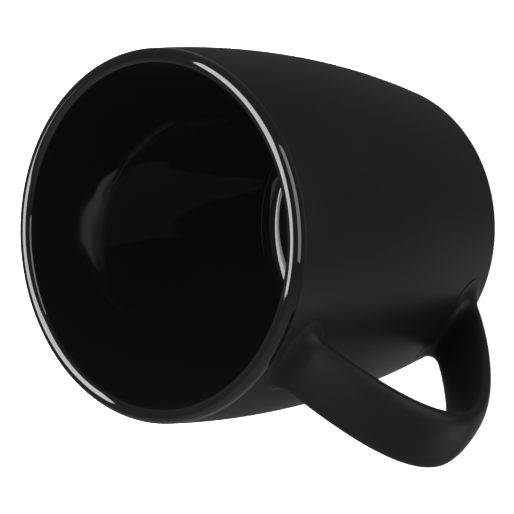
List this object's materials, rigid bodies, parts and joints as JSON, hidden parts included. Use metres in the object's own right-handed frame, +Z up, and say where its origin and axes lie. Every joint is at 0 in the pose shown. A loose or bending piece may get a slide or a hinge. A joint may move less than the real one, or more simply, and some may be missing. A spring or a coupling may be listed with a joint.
{
  "type": "ceramic mug",
  "caption": "Black ceramic mug with a gently bellied wall, a strap handle, a matte outside and a gloss inside that hooks over the lip.",
  "frame": {"origin": "middle of the bounding box of the whole mug with its handle, on the plane the foot ring stands on; the mug's own axis is the line x = -0.01658, y = 0", "axes": "+Z up, from the foot ring to the lip; +X towards the handle; +Y across the handle's width"},
  "size_m": [0.1226, 0.0896, 0.092],
  "materials": {
    "stoneware": "fired bare stoneware, fine grain, matte",
    "gloss_glaze": "black gloss glaze, mirror-like",
    "matte_glaze": "black matte glaze, satin sheen"
  },
  "bodies": {
    "root": {"mug_body": "stoneware", "liner_glaze": "gloss_glaze", "outer_glaze": "matte_glaze", "recess_glaze": "matte_glaze", "handle": "matte_glaze", "upper_slip_joint": "matte_glaze", "lower_slip_joint": "matte_glaze"}
  },
  "joints": []
}
